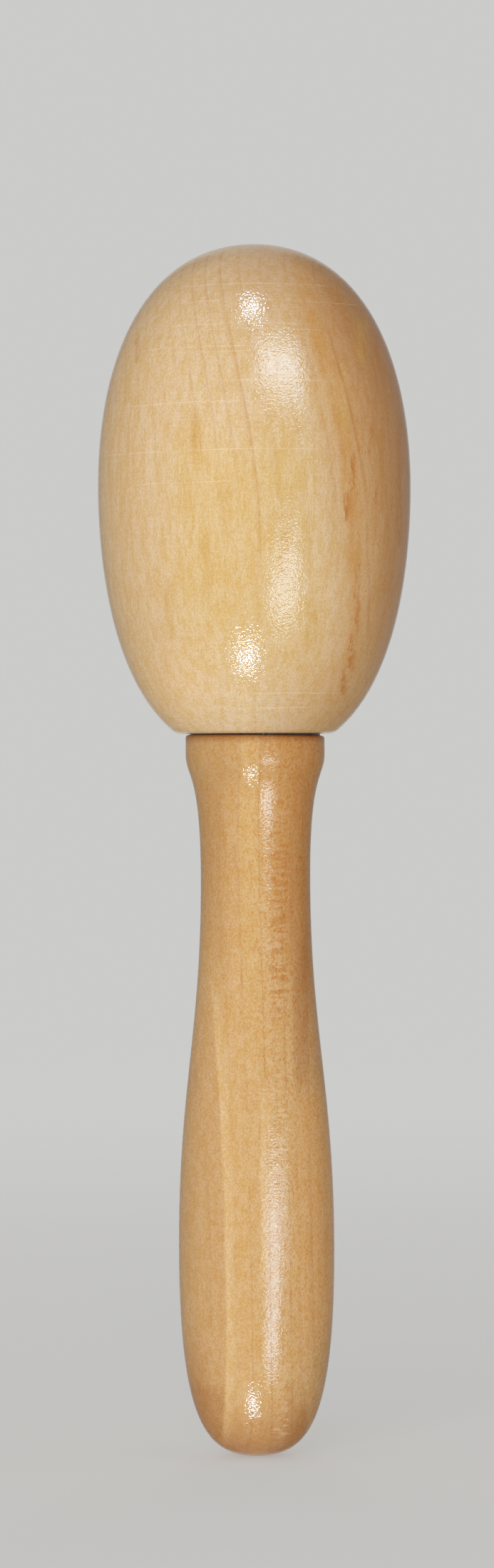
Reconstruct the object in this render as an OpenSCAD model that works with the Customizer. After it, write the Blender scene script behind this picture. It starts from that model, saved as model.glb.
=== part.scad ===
// Darning egg: a turned hardwood egg, glued on the tenon of a turned handle.
// Millimetres. The axis is +Z. The origin is the end of the handle's round butt.
// Every outline is drawn as [radius, height] and turned about the axis, as on a lathe.
// A lead is how far a curve runs straight on from its end before it bends.

/* [Egg] */
// Diameter of the egg at its girth, where it is widest
egg_d = 50.8; // [46:0.1:60]
// Height of the egg from its flat to its crown
egg_h = 79.4; // [72:0.1:95]
// Height of the girth above the flat
girth_h = 40; // [34:0.1:44]
// Lead of the crown, outwards from its top
crown_lead = 17.4; // [10:0.1:19]
// Lead of the upper side, upwards from the girth
upper_side_lead = 21.6; // [14:0.1:28]
// Lead of the lower side, downwards from the girth
lower_side_lead = 8.4; // [4:0.1:14]
// Lead of the heel, upwards from the edge of the flat
heel_lead = 14.4; // [8:0.1:18]
// Angle between the wall and the axis where the heel meets the edge of the flat
heel_angle = 49; // [35:1:60]
// Diameter of the flat that faces the handle
flat_d = 23.8; // [22:0.1:28]
// Radius of the softened edge around the flat
heel_edge_r = 2.4; // [1:0.1:3]

/* [Handle] */
// Length of the handle from its butt to its shoulder, without the tenon
handle_l = 117; // [105:0.5:140]
// Diameter of the grip at its widest
grip_d = 25.3; // [22:0.1:30]
// Height of the widest place of the grip above the butt
grip_h = 33.8; // [30:0.1:40]
// Lead of the butt, outwards from its end
butt_lead = 8.3; // [5:0.1:10]
// Lead of the lower grip, downwards from its widest place
lower_grip_lead = 28.4; // [18:0.1:29]
// Lead of the upper grip, upwards from its widest place
upper_grip_lead = 26.4; // [15:0.1:30]
// Diameter of the neck at its thinnest
neck_d = 17.8; // [15:0.1:19]
// Distance from the shoulder down to the thinnest place of the neck
neck_drop = 23.2; // [20:0.1:30]
// Lead of the lower neck, downwards from its thinnest place
lower_neck_lead = 25.4; // [15:0.1:30]
// Lead of the upper neck, upwards from its thinnest place
upper_neck_lead = 17.5; // [8:0.1:19]
// Diameter of the collar under the egg
collar_d = 22.6; // [20:0.1:24]
// Height of the straight band of the collar
collar_h = 3; // [2:0.1:4]
// Lead of the collar, downwards from its straight band
collar_lead = 4; // [2:0.1:6]
// Radius of the edge between the collar and its shoulder
collar_edge_r = 0.5; // [0.2:0.1:1]

/* [Glued joint] */
// Diameter of the socket that is bored into the egg
socket_d = 12.7; // [8:0.1:15]
// Depth of the socket
socket_l = 24; // [15:0.5:34]
// Width of the chamfer at the mouth of the socket
socket_chamfer = 0.8; // [0.3:0.1:1.2]
// Depth of the spur mark that the drill leaves in the socket's floor
spur_l = 1.2; // [0.5:0.1:2]
// Diameter of the spur mark
spur_d = 3; // [2:0.1:4]
// Radial clearance for glue between the tenon and the socket
glue_fit = 0.05; // [0.02:0.01:0.15]
// Gap left between the handle's shoulder and the flat, seen as a dark line
seat_gap = 0.2; // [0.1:0.05:0.5]
// Width of the chamfer on the end of the tenon
tenon_chamfer = 1; // [0.5:0.1:1.5]
// Number of glue grooves around the tenon
groove_count = 3; // [0:1:4]
// Radius of a glue groove's round section
groove_r = 0.5; // [0.3:0.1:0.8]
// Distance from the shoulder to the first glue groove
groove_start = 6; // [4:0.5:8]
// Distance from one glue groove to the next
groove_pitch = 5; // [2:0.5:5]

/* [Hidden] */
$fn = 96;
// Straight steps in each curve of an outline, and in each rounded edge
curve_steps = 32;
edge_steps = 6;
// How far a cutting or joining solid runs past a face
overrun = 1;

egg_r = egg_d / 2;
flat_r = flat_d / 2;
flat_z = handle_l + seat_gap;
grip_r = grip_d / 2;
neck_r = neck_d / 2;
neck_z = handle_l - neck_drop;
collar_r = collar_d / 2;
collar_z = handle_l - collar_h;
socket_r = socket_d / 2;
tenon_r = socket_r - glue_fit;
tenon_l = socket_l + seat_gap;

// The point at share t of the curve from a to d, which starts towards b and arrives from c
function curve_point(a, b, c, d, t) =
    pow(1 - t, 3) * a + 3 * pow(1 - t, 2) * t * b + 3 * (1 - t) * pow(t, 2) * c + pow(t, 3) * d;

// The points along that curve, all but the last
function curve(a, b, c, d) =
    [for (i = [0 : curve_steps - 1]) curve_point(a, b, c, d, i / curve_steps)];

// The points along a rounded edge about a centre, from one angle to another, all but the last
function edge(centre, r, from, to) =
    [for (i = [0 : edge_steps - 1])
        let (angle = from + (to - from) * i / edge_steps)
        centre + r * [cos(angle), sin(angle)]];

// The egg's outline above its flat: the flat, its soft edge, the heel, the girth and the crown
function egg_outline() =
    let (
        edge_centre = [flat_r, heel_edge_r],
        heel = edge_centre + heel_edge_r * [cos(heel_angle), -sin(heel_angle)],
        heel_way = [sin(heel_angle), cos(heel_angle)],
        girth = [egg_r, girth_h],
        crown = [0, egg_h]
    )
    concat(
        [[0, 0]],
        edge(edge_centre, heel_edge_r, -90, -heel_angle),
        curve(heel, heel + heel_lead * heel_way, girth - [0, lower_side_lead], girth),
        curve(girth, girth + [0, upper_side_lead], crown + [crown_lead, 0], crown),
        [crown]
    );

// The handle's outline without its tenon: the butt, the grip, the neck, the collar and the shoulder
function handle_outline() =
    let (
        butt = [0, 0],
        grip = [grip_r, grip_h],
        neck = [neck_r, neck_z],
        collar = [collar_r, collar_z],
        edge_centre = [collar_r - collar_edge_r, handle_l - collar_edge_r]
    )
    concat(
        curve(butt, butt + [butt_lead, 0], grip - [0, lower_grip_lead], grip),
        curve(grip, grip + [0, upper_grip_lead], neck - [0, lower_neck_lead], neck),
        curve(neck, neck + [0, upper_neck_lead], collar - [0, collar_lead], collar),
        [collar],
        edge(edge_centre, collar_edge_r, 0, 90),
        [[collar_r - collar_edge_r, handle_l], [0, handle_l]]
    );

// The blind socket: the bore, its chamfered mouth and the drill's spur mark in the floor
module socket() {
    translate([0, 0, -overrun]) cylinder(r = socket_r, h = socket_l + overrun);
    translate([0, 0, -overrun])
        cylinder(r1 = socket_r + socket_chamfer + overrun, r2 = socket_r, h = socket_chamfer + overrun);
    translate([0, 0, socket_l]) cylinder(r1 = spur_d / 2, r2 = 0, h = spur_l);
}

// The tenon: a round peg with a chamfered end and grooves that keep glue around it
module tenon() {
    rotate_extrude() difference() {
        polygon([
            [0, -overrun],
            [tenon_r, -overrun],
            [tenon_r, tenon_l - tenon_chamfer],
            [tenon_r - tenon_chamfer, tenon_l],
            [0, tenon_l]
        ]);
        for (i = [0 : 1 : groove_count - 1])
            translate([tenon_r, groove_start + i * groove_pitch]) circle(r = groove_r);
    }
}

// The egg that the stocking is stretched over, bored from its flat
module egg() {
    color([0.86, 0.74, 0.55])
        translate([0, 0, flat_z]) difference() {
            rotate_extrude() polygon(egg_outline());
            socket();
        }
}

// The handle, turned from one length of wood with its tenon
module handle() {
    color([0.82, 0.66, 0.44]) {
        rotate_extrude() polygon(handle_outline());
        translate([0, 0, handle_l]) tenon();
    }
}

egg();
handle();
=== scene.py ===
import math
import bpy
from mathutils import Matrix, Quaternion, Vector


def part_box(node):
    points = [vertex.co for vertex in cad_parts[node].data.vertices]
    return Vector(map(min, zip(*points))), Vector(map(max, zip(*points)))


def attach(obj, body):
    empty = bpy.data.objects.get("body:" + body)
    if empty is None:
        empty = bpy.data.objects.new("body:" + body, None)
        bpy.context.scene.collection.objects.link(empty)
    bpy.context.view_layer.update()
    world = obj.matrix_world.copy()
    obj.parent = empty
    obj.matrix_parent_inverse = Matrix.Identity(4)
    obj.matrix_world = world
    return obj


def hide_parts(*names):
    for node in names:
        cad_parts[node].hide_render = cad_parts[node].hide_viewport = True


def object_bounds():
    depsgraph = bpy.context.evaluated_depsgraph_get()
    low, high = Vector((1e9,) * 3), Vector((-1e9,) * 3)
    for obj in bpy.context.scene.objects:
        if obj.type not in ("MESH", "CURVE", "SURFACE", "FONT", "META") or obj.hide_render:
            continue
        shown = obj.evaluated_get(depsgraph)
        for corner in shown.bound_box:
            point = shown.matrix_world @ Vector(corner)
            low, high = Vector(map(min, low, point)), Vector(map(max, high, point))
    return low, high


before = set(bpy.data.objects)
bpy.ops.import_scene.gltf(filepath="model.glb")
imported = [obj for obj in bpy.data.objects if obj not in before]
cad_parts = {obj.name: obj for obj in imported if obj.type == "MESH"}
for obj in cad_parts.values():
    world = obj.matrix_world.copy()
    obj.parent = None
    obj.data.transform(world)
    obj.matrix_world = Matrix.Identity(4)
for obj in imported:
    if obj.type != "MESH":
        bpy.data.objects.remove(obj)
cad_low, cad_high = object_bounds()
bpy.ops.object.select_all(action="DESELECT")

# Sizes of the turned outlines, in metres. The widest sizes and the heights come from the parts in
# model.glb.
MM = 0.001
egg_low, egg_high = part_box("egg")
handle_low, handle_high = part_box("handle")
FLAT_Z = egg_low.z
CROWN_Z = egg_high.z
EGG_R = -egg_low.x
GIRTH_Z = FLAT_Z + 40 * MM
FLAT_R = 11.9 * MM
HEEL_EDGE_R = 2.4 * MM
HEEL_ANGLE = math.radians(49)
HEEL_LEAD = 14.4 * MM
LOWER_SIDE_LEAD = 8.4 * MM
UPPER_SIDE_LEAD = 21.6 * MM
CROWN_LEAD = 17.4 * MM

SEAT_GAP = 0.2 * MM
SHOULDER_Z = FLAT_Z - SEAT_GAP
COLLAR_R = 11.3 * MM
COLLAR_H = 3 * MM
COLLAR_LEAD = 4 * MM
COLLAR_EDGE_R = 0.5 * MM
NECK_R = 8.9 * MM
NECK_Z = SHOULDER_Z - 23.2 * MM
UPPER_NECK_LEAD = 17.5 * MM
LOWER_NECK_LEAD = 25.4 * MM
GRIP_R = handle_high.y
GRIP_Z = 33.8 * MM
UPPER_GRIP_LEAD = 26.4 * MM
LOWER_GRIP_LEAD = 28.4 * MM
BUTT_LEAD = 8.3 * MM

TENON_R = 6.3 * MM
TENON_CHAMFER = 1 * MM
SOCKET_R = 6.35 * MM
SOCKET_FLOOR_Z = handle_high.z
SOCKET_CHAMFER = 0.8 * MM
SPUR_R = 1.5 * MM
SPUR_H = 1.2 * MM

# A step on the shoulder ends just under the egg's flat, so that no light comes through the joint
SEAT_R = 10.6 * MM
SEAT_PLAY = 0.01 * MM

# The shoulder was cut a little low and out of square, so the dark joint is widest at the left.
# The margin takes in all the points of its soft edge.
SHOULDER_TILT = math.radians(0.5)
SHOULDER_DROP = 0.04 * MM
TILT_MARGIN = 0.01 * MM

# Faces around the axis, along each curve and along each rounded edge of an outline
TURN_STEPS = 288
CURVE_STEPS = 48
EDGE_STEPS = 8

# Points closer than this merge, and faces that meet at less than this angle look smooth
MERGE_GAP = 0.002 * MM
SMOOTH_ANGLE = math.radians(35)


def draw_curve(knots):
    """Draws one Bezier outline in the XZ plane. A knot is a point with its handle in and its handle out."""
    bpy.ops.curve.primitive_bezier_curve_add(location=(0, 0, 0))
    outline = bpy.context.object
    outline.data.resolution_u = CURVE_STEPS
    points = outline.data.splines[0].bezier_points
    points.add(len(knots) - len(points))
    for point, (place, handle_in, handle_out) in zip(points, knots):
        point.handle_left_type = "FREE"
        point.handle_right_type = "FREE"
        point.co = (place[0], 0, place[1])
        point.handle_left = (handle_in[0], 0, handle_in[1])
        point.handle_right = (handle_out[0], 0, handle_out[1])
    bpy.ops.object.convert(target="MESH")
    return bpy.context.object


def lengthen(outline, start, places):
    """Extrudes the end of an outline that lies at start through each of the places in turn."""
    bpy.ops.object.mode_set(mode="EDIT")
    bpy.ops.mesh.select_mode(type="VERT")
    bpy.ops.mesh.select_all(action="DESELECT")
    bpy.ops.object.mode_set(mode="OBJECT")
    corner = Vector((start[0], 0, start[1]))
    end = min(outline.data.vertices, key=lambda vertex: (vertex.co - corner).length)
    end.select = True
    bpy.ops.object.mode_set(mode="EDIT")
    here = start
    for place in places:
        way = (place[0] - here[0], 0, place[1] - here[1])
        bpy.ops.mesh.extrude_region_move(TRANSFORM_OT_translate={"value": way})
        here = place
    bpy.ops.object.mode_set(mode="OBJECT")


def turn(outline, name):
    """Turns an outline about the axis into a closed solid, as on a lathe."""
    bpy.ops.object.mode_set(mode="EDIT")
    bpy.ops.mesh.select_all(action="SELECT")
    bpy.ops.mesh.spin(steps=TURN_STEPS, angle=2 * math.pi, center=(0, 0, 0), axis=(0, 0, 1))
    bpy.ops.mesh.select_all(action="SELECT")
    bpy.ops.mesh.remove_doubles(threshold=MERGE_GAP)
    bpy.ops.mesh.normals_make_consistent(inside=False)
    bpy.ops.object.mode_set(mode="OBJECT")
    bpy.ops.object.shade_smooth_by_angle(angle=SMOOTH_ANGLE)
    outline.name = name
    outline.data.name = name
    outline.select_set(False)
    return outline


def edge_points(centre, radius, start, end):
    """Points along a rounded edge about a centre, from one angle to another."""
    angles = [start + (end - start) * i / EDGE_STEPS for i in range(EDGE_STEPS + 1)]
    return [(centre[0] + radius * math.cos(a), centre[1] + radius * math.sin(a)) for a in angles]


def make_egg():
    """The egg: crown, girth, heel, flat and the blind socket bored from it."""
    edge_centre = (FLAT_R, FLAT_Z + HEEL_EDGE_R)
    heel_edge = edge_points(edge_centre, HEEL_EDGE_R, -HEEL_ANGLE, -math.pi / 2)
    heel = heel_edge[0]
    heel_out = (heel[0] + HEEL_LEAD * math.sin(HEEL_ANGLE), heel[1] + HEEL_LEAD * math.cos(HEEL_ANGLE))
    crown = (0, CROWN_Z)
    girth = (EGG_R, GIRTH_Z)
    outline = draw_curve([
        (crown, crown, (CROWN_LEAD, CROWN_Z)),
        (girth, (EGG_R, GIRTH_Z + UPPER_SIDE_LEAD), (EGG_R, GIRTH_Z - LOWER_SIDE_LEAD)),
        (heel, heel_out, heel),
    ])
    socket = [
        (SOCKET_R + SOCKET_CHAMFER, FLAT_Z),
        (SOCKET_R, FLAT_Z + SOCKET_CHAMFER),
        (SOCKET_R, SOCKET_FLOOR_Z),
        (SPUR_R, SOCKET_FLOOR_Z),
        (0, SOCKET_FLOOR_Z + SPUR_H),
    ]
    lengthen(outline, heel, heel_edge[1:] + socket)
    return turn(outline, "egg_turned")


def make_handle():
    """The handle: butt, grip, neck, collar, shoulder and the tenon in the egg's socket."""
    butt = (0, handle_low.z)
    grip = (GRIP_R, GRIP_Z)
    neck = (NECK_R, NECK_Z)
    collar = (COLLAR_R, SHOULDER_Z - COLLAR_H)
    outline = draw_curve([
        (butt, butt, (BUTT_LEAD, handle_low.z)),
        (grip, (GRIP_R, GRIP_Z - LOWER_GRIP_LEAD), (GRIP_R, GRIP_Z + UPPER_GRIP_LEAD)),
        (neck, (NECK_R, NECK_Z - LOWER_NECK_LEAD), (NECK_R, NECK_Z + UPPER_NECK_LEAD)),
        (collar, (COLLAR_R, collar[1] - COLLAR_LEAD), collar),
    ])
    edge_centre = (COLLAR_R - COLLAR_EDGE_R, SHOULDER_Z - COLLAR_EDGE_R)
    collar_edge = edge_points(edge_centre, COLLAR_EDGE_R, 0, math.pi / 2)
    tenon = [
        (SEAT_R, SHOULDER_Z),
        (SEAT_R, FLAT_Z - SEAT_PLAY),
        (TENON_R, FLAT_Z - SEAT_PLAY),
        (TENON_R, SOCKET_FLOOR_Z - TENON_CHAMFER),
        (TENON_R - TENON_CHAMFER, SOCKET_FLOOR_Z),
        (0, SOCKET_FLOOR_Z),
    ]
    lengthen(outline, collar, collar_edge + tenon)
    handle = turn(outline, "handle_turned")
    tilt_shoulder(handle)
    return handle


def tilt_shoulder(handle):
    """Turns the shoulder and its soft edge a little about the Y axis, lower at the left."""
    low = SHOULDER_Z - COLLAR_EDGE_R - TILT_MARGIN
    high = SHOULDER_Z + TILT_MARGIN
    handle.select_set(True)
    bpy.context.view_layer.objects.active = handle
    bpy.ops.object.mode_set(mode="EDIT")
    bpy.ops.mesh.select_all(action="DESELECT")
    bpy.ops.object.mode_set(mode="OBJECT")
    for vertex in handle.data.vertices:
        vertex.select = low < vertex.co.z < high
    bpy.ops.object.mode_set(mode="EDIT")
    bpy.ops.transform.rotate(
        value=-SHOULDER_TILT, orient_axis="Y", orient_type="GLOBAL", center_override=(0, 0, SHOULDER_Z)
    )
    bpy.ops.transform.translate(value=(0, 0, -SHOULDER_DROP))
    bpy.ops.object.mode_set(mode="OBJECT")
    handle.select_set(False)


class Wire:
    """An output of a shader node. Arithmetic on it adds Math nodes."""

    def __init__(self, finish, socket):
        self.finish = finish
        self.socket = socket

    def join(self, operation, first, second):
        """Adds a Math node that joins two values in their order."""
        return self.finish.node("ShaderNodeMath", {"operation": operation}, {0: first, 1: second})

    def __add__(self, other):
        return self.join("ADD", self, other)

    def __radd__(self, other):
        return self.join("ADD", other, self)

    def __sub__(self, other):
        return self.join("SUBTRACT", self, other)

    def __rsub__(self, other):
        return self.join("SUBTRACT", other, self)

    def __mul__(self, other):
        return self.join("MULTIPLY", self, other)

    def __rmul__(self, other):
        return self.join("MULTIPLY", other, self)

    def greater(self, other):
        """The greater of two values."""
        return self.join("MAXIMUM", self, other)

    def step(self, start, end, low=0.0, high=1.0):
        """A smooth step, from low where the value is start to high where it is end."""
        inputs = {"Value": self, "From Min": start, "From Max": end, "To Min": low, "To Max": high}
        return self.finish.node("ShaderNodeMapRange", {"interpolation_type": "SMOOTHSTEP"}, inputs)

    def band(self, low, high, soft):
        """1 where the value lies between low and high, with soft ends outside them."""
        return self.step(low - soft, low) * self.step(high, high + soft, 1.0, 0.0)

    def edge(self, at, before, after):
        """A line in the value: it fades in over the width before it, and out over the one after it."""
        return self.step(at - before, at) * self.step(at, at + after, 1.0, 0.0)

    def between(self, first, second):
        """A colour between two others, with this value as the share of the second."""
        return self.finish.blend("MIX", first, second, self)

    def mix(self, other, share):
        """A colour between this one and another."""
        return self.finish.blend("MIX", self, other, share)

    def tint(self, other, share):
        """This colour darkened by another one, as by a stain."""
        return self.finish.blend("MULTIPLY", self, other, share)


class Finish:
    """The shader of a material or of the world, under construction."""

    def __init__(self, owner):
        self.owner = owner
        self.owner.use_nodes = True
        self.tree = self.owner.node_tree
        self.tree.nodes.clear()

    def node(self, kind, settings=None, inputs=None, output=0):
        """Adds a node: its settings first, then the values or wires of its sockets."""
        node = self.tree.nodes.new(kind)
        for name, value in (settings or {}).items():
            setattr(node, name, value)
        for name, value in (inputs or {}).items():
            if isinstance(value, Wire):
                self.tree.links.new(value.socket, node.inputs[name])
            else:
                node.inputs[name].default_value = value
        return Wire(self, node.outputs[output]) if node.outputs else None

    def blend(self, kind, first, second, share):
        """Joins two colours. In a Mix node these are inputs 6 and 7, and the joined colour is output 2."""
        settings = {"data_type": "RGBA", "blend_type": kind}
        return self.node("ShaderNodeMix", settings, {0: share, 6: first, 7: second}, output=2)

    def place(self):
        """The place on the piece in millimetres, as a vector and as its three coordinates."""
        metres = self.node("ShaderNodeTexCoord", output="Object")
        place = self.node("ShaderNodeMapping", inputs={"Vector": metres, "Scale": [1 / MM] * 3})
        inputs = {"Vector": place}
        x, y, z = [self.node("ShaderNodeSeparateXYZ", inputs=inputs, output=axis) for axis in "XYZ"]
        return place, x, y, z

    def noise(self, place, cell, detail=2.0, roughness=0.5, seed=0.0):
        """Noise between about -0.5 and 0.5, whose cells have this size in millimetres."""
        shift = (seed, 2 * seed, 3 * seed)
        scale = [1 / side for side in cell]
        cells = self.node("ShaderNodeMapping", inputs={"Vector": place, "Location": shift, "Scale": scale})
        inputs = {"Vector": cells, "Scale": 1.0, "Detail": detail, "Roughness": roughness}
        return self.node("ShaderNodeTexNoise", {"noise_dimensions": "3D"}, inputs) - 0.5


def colour(red, green, blue):
    """A colour from linear light values."""
    return (red, green, blue, 1.0)


# The lacquer, and how much its roughness wanders where hands have worn it
LACQUER_ROUGHNESS = 0.08
LACQUER_WEAR = 0.04


def lacquer(finish, place, wood, peel, bend):
    """Closes a wood under gloss lacquer. peel is the depth of its orange peel in millimetres, and bend its
    index of refraction."""
    worms = finish.noise(place, (0.62, 0.62, 0.46), 1.0, 0.6, seed=3.1)
    crinkle = finish.noise(place, (0.3, 0.3, 0.23), 0.0, seed=7.7)
    inputs = {"Height": worms + crinkle * 0.6, "Strength": 1.0, "Distance": peel * MM}
    bump = finish.node("ShaderNodeBump", inputs=inputs)
    wear = finish.noise(place, (4, 4, 6), 2.0, seed=5.2)
    roughness = LACQUER_ROUGHNESS + wear * LACQUER_WEAR
    inputs = {"Base Color": wood, "Roughness": roughness, "IOR": bend, "Normal": bump}
    surface = finish.node("ShaderNodeBsdfPrincipled", inputs=inputs)
    finish.node("ShaderNodeOutputMaterial", inputs={"Surface": surface})
    return finish.owner


# The two tints of the fine grain, and how much of each lies between its fibres and flames
FIBRE_TINT = colour(0.90, 0.81, 0.655)
FLAME_TINT = colour(0.96, 0.885, 0.68)
GRAIN_SHARE = 0.45


def fine_grain(finish, place, wood, strength, marks, run):
    """The grain of close-pored wood: fibres and specks of this strength, fine marks all round of this
    strength, and golden flames. run is the length of the fibres and flames, against those of the egg."""
    fibres = finish.noise(place, (0.22, 0.22, 0.75 * run), 2.0, 0.6, seed=2.0)
    specks = finish.noise(place, (0.2, 0.2, 0.26), 1.0, 0.6, seed=5.0)
    lines = finish.noise(place, (14, 14, 0.3), 3.0, 0.75, seed=6.0)
    share = GRAIN_SHARE + fibres * (2.4 * strength) + specks * (3.4 * strength) + lines * marks
    wood = wood.tint(FIBRE_TINT, share)
    flames = finish.noise(place, (1.15, 1.15, 4.2 * run), 3.0, 0.78, seed=8.0)
    threads = finish.noise(place, (1.2, 1.2, 15 * run), 2.0, 0.6, seed=9.0)
    return wood.tint(FLAME_TINT, GRAIN_SHARE + flames * 5.0 + threads * (1.8 * run))


# Places and widths in the woods are in millimetres.
# Soft amber patches in the egg's front: X, lowest and highest place, and width
AMBER_PATCHES = (
    (9.2, 132, 137, 1.8),
    (-9.6, 162, 168, 1.5),
    (-4.2, 149, 156, 1.8),
    (-13.5, 133, 140, 1.6),
    (4.8, 141, 150, 1.6),
    (14.2, 167, 174, 1.4),
    (-7.5, 140, 146, 1.6),
    (17.0, 178, 182, 2.0),
)

# The egg's growth rings: the place across the grain, the width of the dark late wood and its strength
EGG_RINGS = (
    (-31, 1.2, 0.5),
    (-27.5, 1.0, 0.5),
    (-24.2, 1.1, 0.5),
    (-20.6, 0.9, 0.5),
    (-17.4, 1.2, 0.4),
    (-14.4, 1.2, 0.4),
    (-11.3, 0.9, 0.5),
    (-8.6, 1.1, 0.8),
    (-5.7, 0.9, 1.1),
    (-2.9, 0.9, 1.0),
    (0.1, 1.0, 1.3),
    (3.6, 1.2, 0.6),
    (7.4, 0.8, 0.4),
    (11.4, 0.8, 0.7),
    (15.45, 0.4, 2.0),
    (18.2, 0.9, 0.9),
    (21.5, 1.0, 0.8),
    (25.2, 1.2, 0.6),
)

# Mineral streaks in the egg's front: X, lowest and highest place, width, and strength
MINERAL_STREAKS = (
    (15.6, 156.5, 160.5, 0.5, 1.2),
    (14.8, 152.0, 154.5, 0.7, 1.0),
    (18.3, 161.2, 162.4, 0.35, 1.0),
    (18.9, 164.5, 166.5, 0.35, 0.8),
    (19.3, 153.2, 155.0, 0.3, 1.2),
    (16.4, 134, 143, 0.5, 0.7),
    (15.5, 128, 132, 0.6, 0.9),
    (14.2, 124.5, 127, 0.6, 0.9),
    (23.4, 148, 166, 0.6, 0.6),
    (-18.6, 177.5, 180.5, 0.7, 0.4),
    (-9.6, 164, 167, 0.6, 0.25),
    (16.4, 179.0, 182.0, 0.9, 0.4),
    (19.9, 177.7, 183.5, 0.5, 0.5),
    (12.6, 181.5, 188.0, 0.7, 0.3),
)

# Fine scratches that the lathe left in the egg: the height of each, and where along X it starts and ends
LATHE_SCRATCHES = (
    (188.8, -12, 9),
    (186.0, -9, 14),
    (182.1, -12, 6),
    (181.2, -6, 8),
    (178.4, -16, -1),
    (177.6, -14, -2),
    (172.9, -2, 10),
    (169.5, -18, -4),
    (161.9, -22, 8),
    (156.9, -16, -6),
    (123.5, 2, 12),
    (121.2, -8, 6),
)

# The egg's colours in linear light, from the ground to the fine marks
STRAW = colour(0.783, 0.600, 0.39)
CREAM = colour(0.80, 0.640, 0.46)
SAND = colour(0.757, 0.552, 0.338)
GOLD = colour(0.775, 0.578, 0.30)
# Painted light on the heel, paler at the left and in the middle
HEEL_PAINTED_LIGHT_PEACH = colour(0.90, 0.655, 0.38)
HEEL_PAINTED_LIGHT_CREAM = colour(0.90, 0.71, 0.49)
HEEL_BROWN = colour(0.715, 0.450, 0.210)
CROWN_TAN = colour(0.655, 0.430, 0.255)
CROWN_BROWN = colour(0.50, 0.265, 0.10)
# The next two browns are partly the wood's own and partly painted shade on the right side
RIGHT_BROWN_AND_SHADE = colour(0.675, 0.400, 0.178)
DEEP_BROWN_AND_SHADE = colour(0.545, 0.260, 0.10)
LATE_ORANGE = colour(0.67, 0.36, 0.105)
PATCH_AMBER = colour(0.70, 0.45, 0.15)
EGG_RING_BROWN = colour(0.57, 0.25, 0.055)
STREAK_RUST = colour(0.58, 0.235, 0.055)
SCRATCH_CREAM = colour(0.90, 0.76, 0.54)

# How the egg's growth rings lie: their turn and fan with the depth behind the front, and their slant and
# bow with the height above the girth
FRONT_Y = -25
MIDDLE_Z = 160
RING_TURN = 0.3625
RING_FAN = 0.007
RING_SLANT = 0.1436
RING_BOW = 0.00577


def egg_ground(x, z, front, across, sway, ripple, clouds):
    """The egg's ground: straw, golden in the middle, darker at the crown, brown and orange at the right.
    The brown at the right is partly the wood's own and partly painted shade, and the heel's paler left and
    middle are painted light from below.
    """
    mottle = (clouds + ripple * 0.5).step(-0.05, 0.3)
    wood = mottle.between(STRAW, CREAM)
    left = (x + ripple * 4 - z.step(146, 118, 0, 8)).step(-11, -21)
    wood = wood.mix(SAND, left * 0.9)
    golden = (z + ripple * 8).band(136, 156, 18) * (x + sway * 10).band(-7, 5, 9) * front
    wood = wood.mix(GOLD, golden * 0.85)

    # Painted light from below on the heel's left and middle, and a darker brown at its right
    heel = (z + ripple * 4).step(136, 119)
    wood = wood.mix(HEEL_PAINTED_LIGHT_PEACH, heel * (x + ripple * 4).step(-5, -13) * 0.65)
    wood = wood.mix(HEEL_PAINTED_LIGHT_CREAM, heel * x.band(-10, -2, 5) * 0.5)
    wood = wood.mix(HEEL_BROWN, heel * (x + ripple * 4).step(1, 10) * 0.7)
    crown = (z + ripple * 6).step(175, 193) * x.step(-9, 3, 0.4, 1.0)
    wood = wood.mix(CROWN_TAN, crown * 0.68)

    # Partly the wood's own brown and partly painted shade: the right side, away from the key lamp, is
    # painted browner and darker
    brown_and_shade = (across + clouds * 6 + ripple * 2).step(7.5, 17.0)
    wood = wood.mix(RIGHT_BROWN_AND_SHADE, brown_and_shade * 0.9)
    deep_and_shade = (across + clouds * 5).step(14, 22)
    wood = wood.mix(DEEP_BROWN_AND_SHADE, deep_and_shade * 0.75)
    dark = (z + ripple * 5).step(170, 188) * (x + ripple * 4).step(4, 13)
    wood = wood.mix(CROWN_BROWN, dark * 0.38)
    orange = (across + ripple * 1.5).band(13.2, 14.2, 1.1) * (clouds + ripple).step(-0.2, 0.15, 0.2, 1.0)
    return wood.mix(LATE_ORANGE, orange * z.step(120, 150, 0.25, 0.65))


def egg_patches(wood, x, z, front):
    """Soft amber patches."""
    for at, low, high, width in AMBER_PATCHES:
        patch = x.band(at, at, width) * z.band(low, high, 3.0) * front
        wood = wood.mix(PATCH_AMBER, patch * 0.42)
    return wood


def egg_rings(wood, z, across, mottle):
    """Growth rings: each darkens over its width up to a thin line, and all of them fade downwards."""
    broken = mottle.step(-0.25, 0.2, 0.3, 1.0)
    left_fade = z.step(152, 180, 0.22, 1.0)
    right_fade = z.step(128, 172, 0.4, 1.0)
    for at, width, strength in EGG_RINGS:
        ring = across.edge(at, width, 0.25) * 0.7 + across.edge(at, 0.3, 0.2) * 0.3
        fade = left_fade if at < 0 else right_fade
        wood = wood.mix(EGG_RING_BROWN, ring * broken * fade * (0.34 * strength))
    return wood


def egg_streaks(wood, x, z, front, frayed):
    """Mineral streaks with frayed sides."""
    gaps = frayed.step(-0.15, 0.12, 0.45, 1.0)
    for at, low, high, width, strength in MINERAL_STREAKS:
        streak = (x + frayed * 2.2).band(at, at, width) * (z + frayed * 5).band(low, high, 1.6) * front
        wood = wood.mix(STREAK_RUST, streak * gaps * strength)
    return wood


def egg_scratches(wood, x, z, front, mottle):
    """Fine pale scratches around the egg, broken here and there."""
    broken = mottle.step(-0.15, 0.15, 0.10, 0.42)
    for height, start, end in LATHE_SCRATCHES:
        scratch = z.band(height, height, 0.13) * x.band(start, end, 4) * front
        wood = wood.mix(SCRATCH_CREAM, scratch * broken)
    return wood


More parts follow.
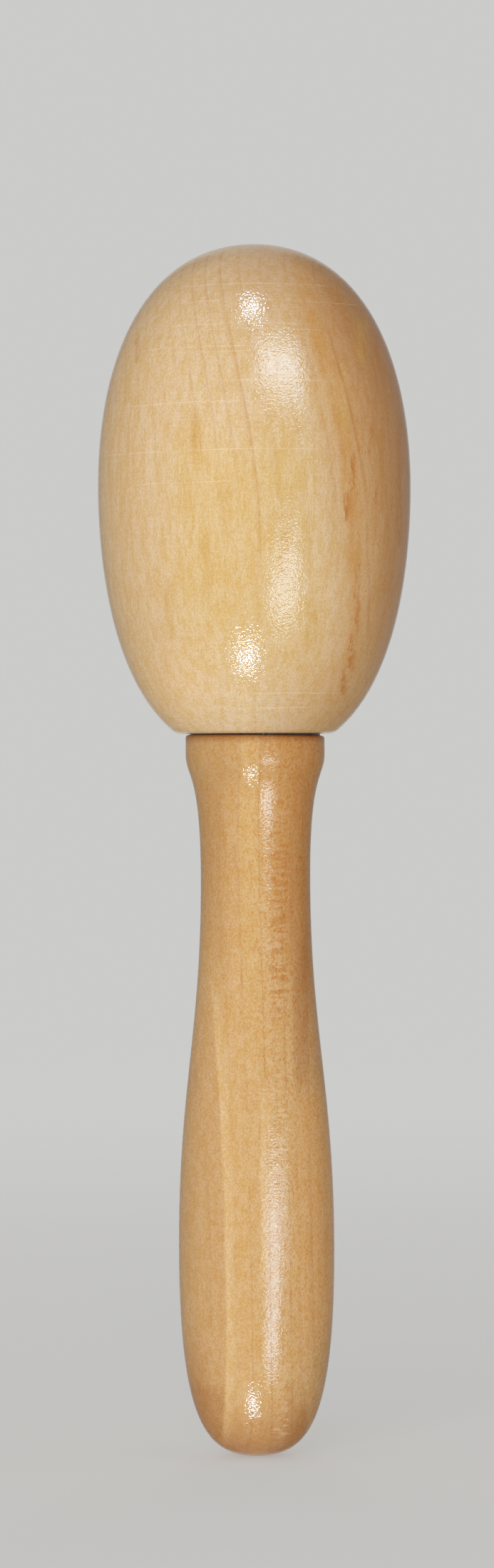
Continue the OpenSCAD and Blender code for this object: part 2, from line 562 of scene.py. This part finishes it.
def egg_finish():
    """Pale close-grained wood with a few slanting growth rings and mineral streaks, under lacquer."""
    finish = Finish(bpy.data.materials.new("egg_wood"))
    place, x, y, z = finish.place()
    front = y.step(4, -4)
    sway = finish.noise(place, (26, 26, 34), 2.0, seed=1.3)
    ripple = finish.noise(place, (5, 5, 9), 2.0, seed=4.7)
    clouds = finish.noise(place, (9, 9, 22), 3.0, 0.55, seed=4.0)
    depth = y - FRONT_Y
    up = z - MIDDLE_Z
    across = x - depth * RING_TURN + x * depth * RING_FAN + up * RING_SLANT + up * up * RING_BOW
    across = across + sway + ripple * 0.3

    wood = egg_ground(x, z, front, across, sway, ripple, clouds)
    wood = egg_patches(wood, x + ripple * 2, z + ripple * 4, front)
    wood = egg_rings(wood, z, across, clouds + ripple)
    frayed = finish.noise(place, (0.55, 0.55, 2.0), 2.0, 0.7, seed=11.0)
    wood = egg_streaks(wood, x + ripple * 0.9, z, front, frayed)
    wood = fine_grain(finish, place, wood, strength=1.0, marks=0.9, run=1.0)
    wood = egg_scratches(wood, x, z + sway * 1.2, front, clouds + ripple)
    return lacquer(finish, place, wood, peel=0.044, bend=1.45)


# The handle's growth rings: the place across the grain, the width of the dark late wood and its strength
HANDLE_RINGS = (
    (-14.5, 1.0, 0.5),
    (-11.8, 0.8, 0.5),
    (-7.0, 1.0, 0.3),
    (-3.9, 0.7, 0.8),
    (0.0, 0.4, 1.2),
    (2.4, 1.0, 0.4),
    (4.4, 0.7, 0.9),
    (6.3, 0.9, 0.5),
    (8.9, 1.0, 0.8),
    (11.6, 0.9, 0.5),
    (14.2, 1.0, 0.5),
)

# How the handle's ring lines lie: their turn and fan with Y, and their slant above and below a height
LINE_TURN = 0.2
LINE_FAN = 0.025
LINE_SLANT = 0.02
LINE_Z = 50

# The handle's colours in linear light, from the ground to the fine marks
HONEY = colour(0.73, 0.495, 0.252)
PALE_HONEY = colour(0.75, 0.53, 0.30)
# Partly the wood's own brown and partly painted shade on the neck's right
NECK_BROWN_AND_SHADE = colour(0.58, 0.270, 0.065)
SHOULDER_TAN = colour(0.575, 0.345, 0.15)
COLLAR_TAN = colour(0.60, 0.395, 0.19)
COLLAR_BROWN = colour(0.62, 0.35, 0.13)
BUTT_BROWN = colour(0.52, 0.24, 0.075)
BUTT_RED_BROWN = colour(0.47, 0.22, 0.07)
SIDE_TAN = colour(0.63, 0.395, 0.20)
SIDE_CREAM = colour(0.82, 0.62, 0.38)
STRIP_GOLD = colour(0.72, 0.50, 0.23)
LINE_UMBER = colour(0.47, 0.185, 0.035)
LINE_CREAM = colour(0.87, 0.68, 0.42)
# Painted light on the grip's right side
GRIP_PAINTED_LIGHT_ORANGE = colour(0.84, 0.495, 0.21)
HANDLE_RING_BROWN = colour(0.42, 0.17, 0.035)
BAR_RED_BROWN = colour(0.54, 0.21, 0.035)
BAR_CREAM = colour(0.84, 0.66, 0.42)
FLECK_TINT = colour(0.93, 0.65, 0.35)
# Painted shade under the egg, and near-black painted shade in the joint's gap
UNDER_EGG_SHADE_TINT = colour(0.62, 0.44, 0.28)
GAP_SHADE_DARK = colour(0.045, 0.014, 0.004)


def handle_ground(x, z, front, across, sway, ripple, clouds):
    """The handle's ground: honey, brown at the right of the neck, the left of the shoulder and the butt.
    The brown at the right of the neck is partly the wood's own and partly painted shade, and the right of
    the grip carries painted light.
    """
    mottle = clouds.step(-0.1, 0.3)
    wood = mottle.between(HONEY, PALE_HONEY)
    # Partly the wood's own brown and partly painted shade on the right side
    brown_and_shade = (x + sway * 3 + clouds * 4 - z.step(98, 60, 0, 5)).step(0.5, 7.5) * z.step(40, 95, 0.4, 1.0)
    wood = wood.mix(NECK_BROWN_AND_SHADE, brown_and_shade * 0.8)
    shoulder = (x + clouds * 5).step(0, -7) * z.step(56, 102, 0.0, 0.95)
    wood = wood.mix(SHOULDER_TAN, shoulder)
    collar = (z + ripple * 3).step(106, 114)
    wood = wood.mix(x.step(-2, 5).between(COLLAR_TAN, COLLAR_BROWN), collar * 0.55)
    butt = (z + ripple * 6 - x.step(-4.5, -10, 0, 12) - x.band(5, 7.5, 1) * 4).step(12, 0)
    wood = wood.mix(BUTT_BROWN, butt * 0.85)

    low = z.step(82, 68)
    beyond = across.step(-9.2, -9.45) * low
    wood = wood.mix(SIDE_TAN, beyond * 0.6)
    pale = across.edge(-9.0, 0.2, 2.4) * low * z.step(3, 14, 0.4, 1.0)
    wood = wood.mix(SIDE_CREAM, pale * 0.5)
    strip = across.band(-3.8, -0.2, 0.3) * z.step(60, 90, 0.3, 1.0) * front
    wood = wood.mix(STRIP_GOLD, strip * 0.5)

    amber = (x + clouds * 3).band(7.0, 7.8, 1.2) * (z + ripple * 6).band(64, 80, 8)
    wood = wood.mix(LINE_UMBER, amber * 0.45)
    middle = (x + ripple).band(0.9, 1.9, 0.5) * (z + ripple * 6).band(34, 56, 6) * front
    wood = wood.mix(LINE_CREAM, middle * 0.4)
    # Painted light: the grip's right side is lighter, as if lit from that side
    painted_light = (x + clouds * 3).step(4, 10) * (z + ripple * 8).band(24, 54, 10)
    wood = wood.mix(GRIP_PAINTED_LIGHT_ORANGE, painted_light * 0.6)
    patch = (x + ripple).step(-5.1, -5.7) * (z + ripple * 3).band(4.5, 10.5, 3) * front
    return wood.mix(BUTT_RED_BROWN, patch * 0.45)


def handle_rings(wood, across, mottle):
    """Long ring lines, broken here and there."""
    broken = mottle.step(-0.2, 0.2, 0.25, 1.0)
    for at, width, strength in HANDLE_RINGS:
        ring = across.edge(at, width, 0.15) * broken
        wood = wood.mix(HANDLE_RING_BROWN, ring * (0.32 * strength))
    return wood


def handle_figure(wood, x, z, front, bars):
    """The rippled figure: short bars across the grain, red-brown in the neck and paler in the grip."""
    column = x.band(2.9, 4.7, 1.0) * front
    neck = column * z.band(76, 103, 8)
    wood = wood.mix(BAR_RED_BROWN, bars.step(-0.02, 0.08) * neck * 0.5)
    grip = column * (z.band(42, 60, 5) + z.band(5, 10, 3))
    return wood.mix(BAR_CREAM, bars.step(0.0, 0.16) * grip * 0.45)


def handle_joint(finish, place, wood, z):
    """Painted shade on the collar just under the egg, and near-black painted shade on the shoulder and
    around its seat, in the joint's gap.
    """
    shoulder = SHOULDER_Z / MM
    seat = SEAT_R / MM
    # Painted shade on the collar just under the egg
    wood = wood.tint(UNDER_EGG_SHADE_TINT, z.step(shoulder - 1.6, shoulder))
    level = finish.node("ShaderNodeMapping", inputs={"Vector": place, "Scale": (1, 1, 0)})
    radius = finish.node("ShaderNodeVectorMath", {"operation": "LENGTH"}, {"Vector": level}, output="Value")
    # Near-black painted shade on the shoulder and its seat, in the joint's gap
    gap_shade = radius.step(seat + 0.3, seat + 0.05) * z.step(shoulder - 0.5, shoulder - 0.3)
    return wood.mix(GAP_SHADE_DARK, gap_shade)


def handle_finish():
    """Honey-brown wood with flecks, long ring lines and a rippled figure, under lacquer."""
    finish = Finish(bpy.data.materials.new("handle_wood"))
    place, x, y, z = finish.place()
    front = y.step(2, -2)
    sway = finish.noise(place, (22, 22, 50), 2.0, seed=1.9)
    ripple = finish.noise(place, (4, 4, 9), 2.0, seed=4.1)
    across = x + (LINE_TURN - LINE_FAN * x) * y + (z - LINE_Z) * LINE_SLANT + sway * 0.8 + ripple * 0.25
    clouds = finish.noise(place, (5, 5, 26), 3.0, 0.55, seed=4.4)

    wood = handle_ground(x, z, front, across, sway, ripple, clouds)
    wood = fine_grain(finish, place, wood, strength=1.1, marks=0.25, run=0.5)
    wood = handle_rings(wood, across, clouds + ripple)
    bars = finish.noise(place, (2.6, 5, 0.55), 2.0, 0.5, seed=13.0)
    wood = handle_figure(wood, x + ripple * 1.6, z, front, bars)
    flecks = finish.noise(place, (0.36, 0.36, 0.5), 1.0, seed=17.0).step(-0.04, 0.2)
    flecked = (x + clouds * 8).step(-4, 6, 0.35, 0.85) * z.step(40, 80, 0.7, 1.0)
    wood = wood.tint(FLECK_TINT, flecks * flecked)
    wood = handle_joint(finish, place, wood, z)
    return lacquer(finish, place, wood, peel=0.045, bend=1.43)


def dress(piece, node, finish):
    """Gives a piece its finish and its place in the frame."""
    piece.data.materials.clear()
    piece.data.materials.append(finish)
    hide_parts(node)
    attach(piece, "root")


# The photograph's view: its size in pixels, the size of one at the axis, the butt's row and axis's column
PHOTO_W = 693
PHOTO_H = 2200
PIXEL = 0.1157 * MM
BUTT_ROW = 2042.6
AXIS_COLUMN = 358.0
CAMERA_Y = -0.9
CAMERA_ROLL = math.radians(0.18)
SENSOR = 36.0


def add_camera():
    """A long lens, level with the middle of the picture."""
    across = (PHOTO_W / 2 - AXIS_COLUMN) * PIXEL
    height = (BUTT_ROW - PHOTO_H / 2) * PIXEL
    bpy.ops.object.camera_add(location=(across, CAMERA_Y, height), rotation=(math.pi / 2, CAMERA_ROLL, 0))
    camera = bpy.context.object
    camera.data.sensor_width = SENSOR
    camera.data.lens = SENSOR * -CAMERA_Y / (PHOTO_H * PIXEL)
    camera.data.clip_start = 0.01
    camera.data.clip_end = 50
    bpy.context.scene.camera = camera


BACKGROUND = colour(0.60, 0.60, 0.59)
AMBIENT = colour(0.37, 0.36, 0.35)


def add_world():
    """A pale background for the camera, the gloss and glass, and a dimmer light from all around."""
    finish = Finish(bpy.data.worlds.new("studio"))
    camera = finish.node("ShaderNodeLightPath", output="Is Camera Ray")
    gloss = finish.node("ShaderNodeLightPath", output="Is Glossy Ray")
    glass = finish.node("ShaderNodeLightPath", output="Is Transmission Ray")
    seen = camera.greater(gloss).greater(glass)
    light = finish.node("ShaderNodeBackground", inputs={"Color": AMBIENT})
    shown = finish.node("ShaderNodeBackground", inputs={"Color": BACKGROUND})
    sky = finish.node("ShaderNodeMixShader", inputs={0: seen, 1: light, 2: shown})
    finish.node("ShaderNodeOutputWorld", inputs={"Surface": sky})
    bpy.context.scene.world = finish.owner


# The floor, and the distances in metres from which and at which it has faded into the background
FLOOR_SIDE = 16
FLOOR_PAPER = colour(0.82, 0.82, 0.81)
HAZE_START = 0.12
HAZE_END = 1.3
HAZE_LEAST = 0.6


def add_floor():
    """A wide pale floor that fades into the background, and lets the low lamps through to the gloss."""
    bpy.ops.mesh.primitive_plane_add(size=FLOOR_SIDE, location=(0, 0, cad_low.z))
    floor = bpy.context.object
    floor.name = "floor"
    finish = Finish(bpy.data.materials.new("floor_paper"))
    spot = finish.node("ShaderNodeTexCoord", output="Object")
    away = finish.node("ShaderNodeVectorMath", {"operation": "LENGTH"}, {"Vector": spot}, output="Value")
    paper = finish.node("ShaderNodeBsdfDiffuse", inputs={"Color": FLOOR_PAPER})
    haze = finish.node("ShaderNodeEmission", inputs={"Color": BACKGROUND, "Strength": 1.0})
    share = away.step(HAZE_START, HAZE_END, HAZE_LEAST, 1.0)
    surface = finish.node("ShaderNodeMixShader", inputs={0: share, 1: paper, 2: haze})
    finish.node("ShaderNodeOutputMaterial", inputs={"Surface": surface})
    floor.data.materials.append(finish.owner)
    floor.visible_shadow = False
    floor.visible_glossy = False


# Two felt flags behind the object, out of the picture: the right one's place, width and height in metres,
# and its turn in radians
FLAG_X = 0.75
FLAG_Y = 0.62
FLAG_Z = 0.1
FLAG_W = 1.25
FLAG_H = 2.4
FLAG_TURN = 0.55
FELT_GREY = colour(0.40, 0.40, 0.40)


def add_flag(name, side):
    """A grey felt flag at one side, which only the gloss sees: it keeps the rim of the reflections dark."""
    turned = (math.pi / 2, 0, -side * FLAG_TURN)
    bpy.ops.mesh.primitive_plane_add(size=1, location=(side * FLAG_X, FLAG_Y, FLAG_Z), rotation=turned)
    flag = bpy.context.object
    flag.name = name
    flag.scale = (FLAG_W, FLAG_H, 1)
    finish = Finish(bpy.data.materials.new("flag_felt"))
    felt = finish.node("ShaderNodeBsdfDiffuse", inputs={"Color": FELT_GREY})
    finish.node("ShaderNodeOutputMaterial", inputs={"Surface": felt})
    flag.data.materials.append(finish.owner)
    flag.visible_camera = False
    flag.visible_diffuse = False
    flag.visible_shadow = False


# A bluish light, which the warm wood and lacquer turn white
GLOSS_LIGHT = (0.50, 0.75, 1.0)


def add_lamp(name, azimuth, elevation, aim, distance, size, power, gloss=False, roll=0, spread=180):
    """A rectangular lamp that faces a height on the axis, seen from there at an azimuth and an elevation.
    Angles are in degrees. It lights the object's colour, or with gloss only shows in its lacquer."""
    azimuth = math.radians(azimuth)
    elevation = math.radians(elevation)
    level = math.cos(elevation)
    way = Vector((math.sin(azimuth) * level, -math.cos(azimuth) * level, math.sin(elevation)))
    bpy.ops.object.light_add(type="AREA", location=Vector((0, 0, aim)) + way * distance)
    lamp = bpy.context.object
    lamp.name = name
    turned = Quaternion((0, 0, 1), math.radians(roll))
    lamp.rotation_euler = (way.to_track_quat("Z", "Y") @ turned).to_euler()
    lamp.data.shape = "RECTANGLE"
    lamp.data.size = size[0]
    lamp.data.size_y = size[1]
    lamp.data.energy = power
    lamp.data.spread = math.radians(spread)
    if gloss:
        lamp.data.color = GLOSS_LIGHT
    lamp.visible_camera = False
    lamp.visible_diffuse = not gloss
    lamp.visible_glossy = gloss


def add_lamps():
    """A soft key lamp and a fill lamp from behind, and a lamp for each reflection, from the crown down."""
    add_lamp("key", azimuth=-12, elevation=8, aim=0.10, distance=1.5, size=(0.9, 0.9), power=14.5)
    add_lamp("back_fill", azimuth=180, elevation=20, aim=0.10, distance=1.5, size=(1.2, 1.2), power=6)
    add_lamp(
        "crown_gloss", azimuth=-4, elevation=63.5, aim=0.186, distance=0.6, size=(0.11, 0.065), power=1.15,
        gloss=True,
    )
    add_lamp(
        "shoulder_gloss", azimuth=23, elevation=33.5, aim=0.176, distance=1.2, size=(0.66, 0.40), power=8.3,
        gloss=True, roll=-10,
    )
    add_lamp(
        "side_gloss", azimuth=24, elevation=-18, aim=0.140, distance=1.5, size=(0.52, 0.42), power=7.2,
        gloss=True, roll=20,
    )
    add_lamp(
        "grip_gloss", azimuth=28, elevation=-1.2, aim=0.038, distance=0.16, size=(0.115, 0.037),
        power=0.0104, gloss=True, spread=56,
    )
    add_lamp(
        "low_gloss", azimuth=-8, elevation=-41, aim=0.130, distance=1.5, size=(0.40, 0.13), power=8.8,
        gloss=True,
    )


egg = make_egg()
handle = make_handle()
dress(egg, "egg", egg_finish())
dress(handle, "handle", handle_finish())

add_camera()
add_world()
add_floor()
add_flag("flag_left", -1)
add_flag("flag_right", 1)
add_lamps()

bpy.context.scene.view_settings.view_transform = "Standard"
